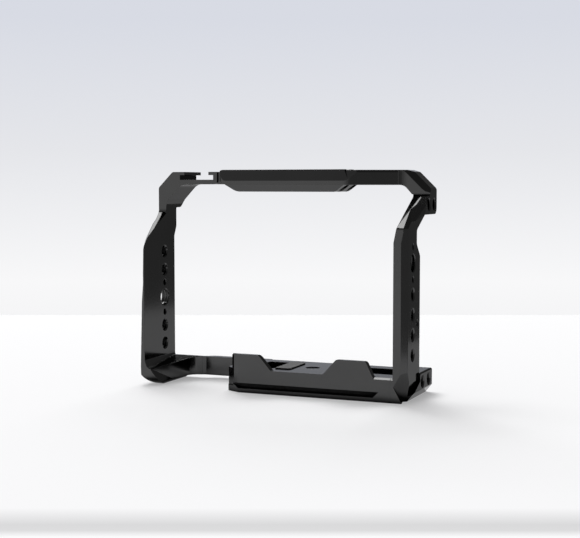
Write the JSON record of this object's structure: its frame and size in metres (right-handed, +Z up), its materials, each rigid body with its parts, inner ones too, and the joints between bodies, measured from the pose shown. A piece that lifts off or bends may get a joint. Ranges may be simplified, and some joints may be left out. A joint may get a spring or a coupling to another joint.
{
  "type": "camera cage",
  "caption": "Machined cage round a mirrorless camera body, with a cold shoe, rows of accessory holes and a base plate with a captive camera screw.",
  "frame": {"origin": "middle of the overall box in plan, on the table", "axes": "+X to the port side (right in the picture), +Y from the lens side to the back, +Z up"},
  "size_m": [0.144, 0.0442, 0.1058],
  "materials": {
    "black_anodised": "satin black anodised",
    "screw_steel": "turned",
    "black_steel": "black oxide",
    "pin_steel": "ground",
    "washer_plastic": "smooth low-friction plastic",
    "pad_rubber": "fine matt"
  },
  "bodies": {
    "cage": {"grip_side_frame": "black_anodised", "top_bar": "black_anodised", "port_side_frame": "black_anodised", "base_plate": "black_anodised", "screw_retaining_ring": "black_steel", "shoe_joint_screws": "black_steel", "port_top_joint_screws": "black_steel", "port_base_joint_screws": "black_steel", "grip_base_joint_screws": "black_steel", "shoe_joint_dowels": "pin_steel", "port_top_joint_dowels": "pin_steel", "port_base_joint_dowels": "pin_steel", "grip_base_joint_dowels": "pin_steel", "base_pad": "pad_rubber"},
    "washer": {"screw_washer": "washer_plastic"},
    "screw": {"camera_screw": "screw_steel"}
  },
  "joints": [
    {"name": "washer_slide", "type": "slide", "parent": "cage", "child": "washer", "axis": [0, 0, 1], "range_m": [0, 0.004]},
    {"name": "screw_turn", "type": "hinge", "parent": "washer", "child": "screw", "pos_m": [0.0158, -0.0049, 0.003], "axis": [0, 0, 1], "continuous": true}
  ]
}
